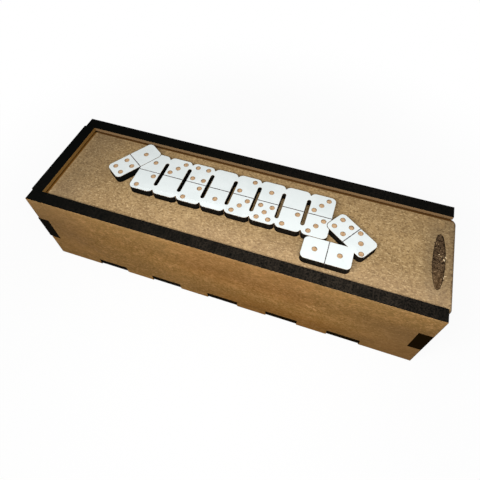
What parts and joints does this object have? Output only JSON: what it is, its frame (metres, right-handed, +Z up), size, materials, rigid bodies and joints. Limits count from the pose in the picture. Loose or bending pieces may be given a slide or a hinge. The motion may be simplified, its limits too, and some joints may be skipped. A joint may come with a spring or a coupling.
{
  "type": "domino storage box",
  "caption": "Long narrow box of finger-jointed boards with a sliding lid in grooves, an engraved thumb rest and a raised domino-tile ornament; it stores a domino set lying in layers.",
  "frame": {"origin": "middle of the underside of the walls and base", "axes": "+X along the box, the way the lid slides out; +Y to the back; +Z up"},
  "size_m": [0.2029, 0.061, 0.0512],
  "materials": {
    "wall_board": "oiled golden-brown fibreboard faces with black charred laser-cut edges",
    "lid_board": "raw speckled tan fibreboard with charred edges and a dark engraved thumb rest",
    "white_board": "satin white faced fibreboard with black charred edges and brown engraved pips"
  },
  "bodies": {
    "case": {"base_panel": "wall_board", "front_wall": "wall_board", "back_wall": "wall_board", "left_end": "wall_board", "right_end": "wall_board"},
    "lid": {"lid_panel": "lid_board", "tile_row": "white_board", "leaning_tile": "white_board", "fallen_tiles": "white_board"}
  },
  "joints": [
    {"name": "lid_slide", "type": "slide", "parent": "case", "child": "lid", "axis": [1, 0, 0], "range_m": [0, 0.2]}
  ]
}
